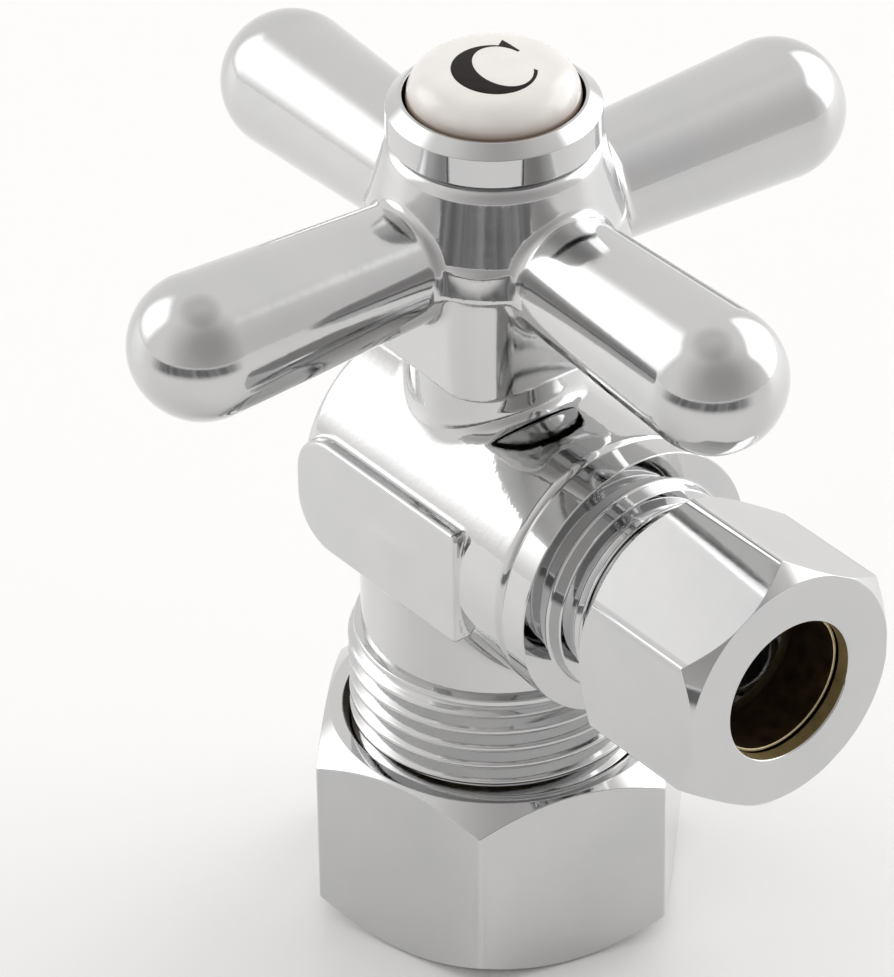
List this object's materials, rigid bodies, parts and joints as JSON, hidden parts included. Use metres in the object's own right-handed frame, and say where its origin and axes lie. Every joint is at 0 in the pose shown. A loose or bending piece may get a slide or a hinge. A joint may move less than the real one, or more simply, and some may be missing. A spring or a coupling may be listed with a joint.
{
  "type": "angle stop valve",
  "caption": "Chromed quarter-turn angle stop valve with a cross handle, a compression inlet below and a compression outlet at the side.",
  "frame": {"origin": "on the stem axis, at the bottom face of the inlet nut", "axes": "+Z along the stem from the supply pipe to the handle, +X along the outlet axis away from the body"},
  "size_m": [0.0573, 0.0562, 0.065],
  "materials": {
    "chrome_body": "polished over a forging",
    "chrome_adapter": "polished, turned",
    "chrome_nuts": "polished",
    "chrome_handle": "mirror polished",
    "chrome_ring": "mirror polished, turned",
    "porcelain": "glazed",
    "letter_enamel": "gloss",
    "brass": "machined",
    "plated_ball": "mirror polished",
    "seat_plastic": "waxy",
    "fibre": "matt",
    "seal_rubber": "satin",
    "steel": "plated"
  },
  "bodies": {
    "valve": {"valve_body": "chrome_body", "outlet_seat": "seat_plastic", "back_seat": "seat_plastic", "outlet_adapter": "chrome_adapter", "adapter_washer": "fibre"},
    "handle_and_stem": {"handle": "chrome_handle", "handle_screw": "steel", "screw_washer": "steel", "stem": "brass", "stop_washer": "steel", "stem_thrust_washer": "seat_plastic", "stem_o_ring_lower": "seal_rubber", "stem_o_ring_upper": "seal_rubber", "ball": "plated_ball"},
    "index_button": {"index_ring": "chrome_ring", "index_disc": "porcelain", "index_letter": "letter_enamel"},
    "inlet_sleeve": {"inlet_ferrule": "brass"},
    "inlet_coupling_nut": {"inlet_nut": "chrome_nuts"},
    "outlet_sleeve": {"outlet_ferrule": "brass"},
    "outlet_coupling_nut": {"outlet_nut": "chrome_nuts"}
  },
  "joints": [
    {"name": "handle_turn", "type": "hinge", "parent": "valve", "child": "handle_and_stem", "pos_m": [0, 0, 0.0528], "axis": [0, 0, 1], "range_deg": [-90, 0]},
    {"name": "index_lift", "type": "slide", "parent": "handle_and_stem", "child": "index_button", "axis": [0, 0, 1], "range_m": [0, 0.006]},
    {"name": "inlet_ferrule_travel", "type": "slide", "parent": "valve", "child": "inlet_sleeve", "axis": [0, 0, -1], "range_m": [0, 0.0078]},
    {"name": "inlet_nut_turn", "type": "hinge", "parent": "inlet_sleeve", "child": "inlet_coupling_nut", "pos_m": [0, 0, 0], "axis": [0, 0, -1], "range_deg": [0, 1980]},
    {"name": "outlet_ferrule_travel", "type": "slide", "parent": "valve", "child": "outlet_sleeve", "axis": [1, 0, 0], "range_m": [0, 0.0048]},
    {"name": "outlet_nut_turn", "type": "hinge", "parent": "outlet_sleeve", "child": "outlet_coupling_nut", "pos_m": [0.02, 0, 0.032], "axis": [1, 0, 0], "range_deg": [0, 1620]}
  ],
  "couplings": [
    {"joint": "inlet_ferrule_travel", "follows": "inlet_nut_turn", "m_per_rad": 0.00022458},
    {"joint": "outlet_ferrule_travel", "follows": "outlet_nut_turn", "m_per_rad": 0.00016844}
  ]
}
